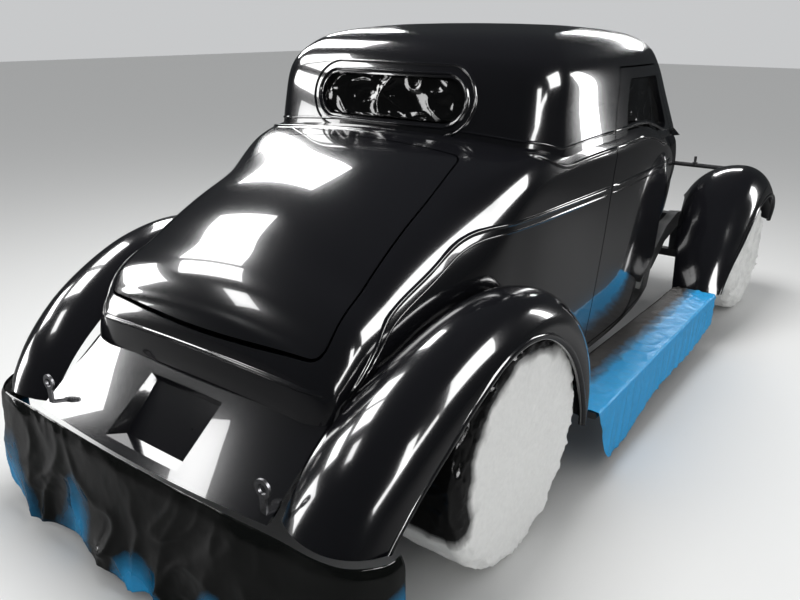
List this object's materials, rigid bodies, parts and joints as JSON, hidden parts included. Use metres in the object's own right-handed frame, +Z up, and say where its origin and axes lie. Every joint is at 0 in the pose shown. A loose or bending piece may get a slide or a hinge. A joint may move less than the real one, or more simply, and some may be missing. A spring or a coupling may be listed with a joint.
{
  "type": "hot rod coupe",
  "caption": "Low closed coupe of the thirties with long bulbous fenders, split hood, hinged doors and deck lid, masked for painting and standing on wrapped wheels.",
  "frame": {"origin": "on the ground in the middle of the overall box", "axes": "+X forward along the car, +Y to the car's left, +Z up"},
  "size_m": [4.1058, 1.7266, 1.606],
  "materials": {
    "paint": "gloss",
    "bright": "polished",
    "dark_metal": "satin",
    "bare_steel": "satin",
    "iron": "rough",
    "tyre": "matte",
    "wheel_paint": "satin",
    "white_cover": "matte",
    "blue_film": "wrinkled",
    "dark_film": "wrinkled",
    "black_film": "crinkled"
  },
  "bodies": {
    "chassis": {"body_shell": "paint", "roof": "paint", "roll_pan": "paint", "rear_fender_left": "paint", "rear_fender_right": "paint", "front_fender_left": "paint", "front_fender_right": "paint", "running_board_left": "paint", "running_board_right": "paint", "grille_shell": "paint", "grille_bars": "bright", "radiator": "dark_metal", "frame": "dark_metal", "floor_pan": "dark_metal", "hood_rod": "bright", "engine_block": "iron", "front_axle": "dark_metal", "rear_axle": "dark_metal", "lamp_bar": "dark_metal", "tail_bracket_left": "bare_steel", "tail_bracket_right": "bare_steel", "board_film_left": "blue_film", "board_film_right": "blue_film", "tail_skirt": "dark_film", "rear_window_film": "black_film", "windscreen_film": "black_film"},
    "trunk_lid": {"trunk_lid": "paint"},
    "door_left": {"door_left": "paint", "door_window_film_left": "black_film"},
    "hood_left": {"hood_left": "paint"},
    "knuckle_left": {"knuckle_left": "dark_metal"},
    "rear_wheel_left": {"rear_tyre_left": "tyre", "rear_rim_left": "wheel_paint", "rear_wheel_cover_left": "white_cover"},
    "front_wheel_left": {"front_tyre_left": "tyre", "front_rim_left": "wheel_paint", "front_wheel_cover_left": "white_cover"},
    "door_right": {"door_right": "paint", "door_window_film_right": "black_film"},
    "hood_right": {"hood_right": "paint"},
    "knuckle_right": {"knuckle_right": "dark_metal"},
    "rear_wheel_right": {"rear_tyre_right": "tyre", "rear_rim_right": "wheel_paint", "rear_wheel_cover_right": "white_cover"},
    "front_wheel_right": {"front_tyre_right": "tyre", "front_rim_right": "wheel_paint", "front_wheel_cover_right": "white_cover"}
  },
  "joints": [
    {"name": "rear_wheel_spin_left", "type": "hinge", "parent": "chassis", "child": "rear_wheel_left", "pos_m": [-1.24095, 0.704, 0.386], "axis": [0, 1, 0], "continuous": true},
    {"name": "steer_left", "type": "hinge", "parent": "chassis", "child": "knuckle_left", "pos_m": [1.60405, 0.56, 0.329], "axis": [0, 0, 1], "range_deg": [-25, 25]},
    {"name": "front_wheel_spin_left", "type": "hinge", "parent": "knuckle_left", "child": "front_wheel_left", "pos_m": [1.60405, 0.69, 0.329], "axis": [0, 1, 0], "continuous": true},
    {"name": "door_hinge_left", "type": "hinge", "parent": "chassis", "child": "door_left", "pos_m": [-0.30895, 0.684, 0.56], "axis": [0, 0, 1], "range_deg": [0, 65]},
    {"name": "hood_hinge_left", "type": "hinge", "parent": "chassis", "child": "hood_left", "pos_m": [0.54705, 0, 1.149], "axis": [0.9933, 0, -0.116], "range_deg": [0, 55]},
    {"name": "rear_wheel_spin_right", "type": "hinge", "parent": "chassis", "child": "rear_wheel_right", "pos_m": [-1.24095, -0.704, 0.386], "axis": [0, 1, 0], "continuous": true},
    {"name": "steer_right", "type": "hinge", "parent": "chassis", "child": "knuckle_right", "pos_m": [1.60405, -0.56, 0.329], "axis": [0, 0, 1], "range_deg": [-25, 25]},
    {"name": "front_wheel_spin_right", "type": "hinge", "parent": "knuckle_right", "child": "front_wheel_right", "pos_m": [1.60405, -0.69, 0.329], "axis": [0, 1, 0], "continuous": true},
    {"name": "door_hinge_right", "type": "hinge", "parent": "chassis", "child": "door_right", "pos_m": [-0.30895, -0.684, 0.56], "axis": [0, 0, -1], "range_deg": [0, 65]},
    {"name": "hood_hinge_right", "type": "hinge", "parent": "chassis", "child": "hood_right", "pos_m": [0.54705, 0, 1.149], "axis": [-0.9933, 0, 0.116], "range_deg": [0, 55]},
    {"name": "trunk_hinge", "type": "hinge", "parent": "chassis", "child": "trunk_lid", "pos_m": [-0.97595, 0, 1.232], "axis": [0, 1, 0], "range_deg": [0, 55]}
  ],
  "couplings": [
    {"joint": "steer_right", "follows": "steer_left", "ratio": 1}
  ]
}
